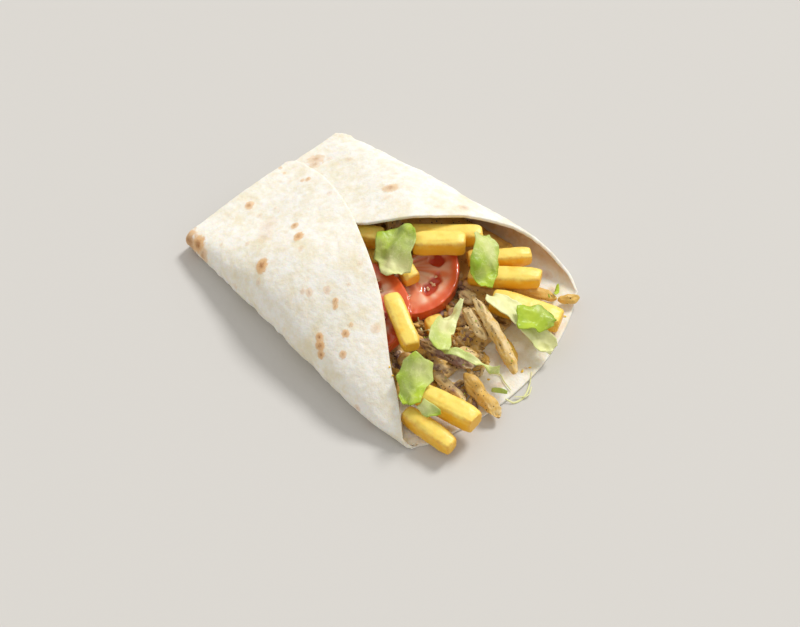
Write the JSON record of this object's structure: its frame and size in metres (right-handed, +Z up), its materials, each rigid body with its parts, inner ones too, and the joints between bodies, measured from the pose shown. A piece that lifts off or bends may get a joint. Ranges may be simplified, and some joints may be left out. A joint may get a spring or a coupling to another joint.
{
  "type": "chicken and fries wrap",
  "caption": "Flour tortilla rolled round grilled chicken strips, potato fries, tomato slices and lettuce, folded shut at one end and open at the other.",
  "frame": {"origin": "centre of the bounding box at its base, on the surface the wrap lies on", "axes": "+X along the wrap from its closed end to its open mouth; +Z up; +Y a quarter turn anticlockwise from +X seen from above, towards the right flap as seen from the mouth"},
  "size_m": [0.1903, 0.1324, 0.0363],
  "materials": {
    "tortilla": "matt baked flour dough, off-white with small toasted spots",
    "filling": "packed chopped chicken and sauce, moist",
    "fry": "fried potato, yellow with golden edges, slightly oily",
    "chicken": "browned chicken strips with pepper and herbs, slightly oily",
    "tomato": "fresh cut tomato, wet",
    "lettuce": "fresh crinkled lettuce, satin"
  },
  "bodies": {
    "root": {"tortilla": "tortilla", "filling": "filling", "fry_01": "fry", "fry_02": "fry", "fry_03": "fry", "fry_04": "fry", "fry_05": "fry", "fry_06": "fry", "fry_07": "fry", "fry_08": "fry", "fry_09": "fry", "fry_10": "fry", "fry_11": "fry", "fry_12": "fry", "fry_13": "fry", "strip_01": "chicken", "strip_02": "chicken", "strip_03": "chicken", "strip_04": "chicken", "strip_05": "chicken", "strip_06": "chicken", "strip_07": "chicken", "strip_08": "chicken", "strip_09": "chicken", "strip_10": "chicken", "strip_11": "chicken", "strip_12": "chicken", "strip_13": "chicken", "tomato_01": "tomato", "tomato_02": "tomato", "leaf_01": "lettuce", "leaf_02": "lettuce", "leaf_03": "lettuce", "leaf_04": "lettuce", "leaf_05": "lettuce", "leaf_06": "lettuce", "leaf_07": "lettuce", "leaf_08": "lettuce"}
  },
  "joints": []
}
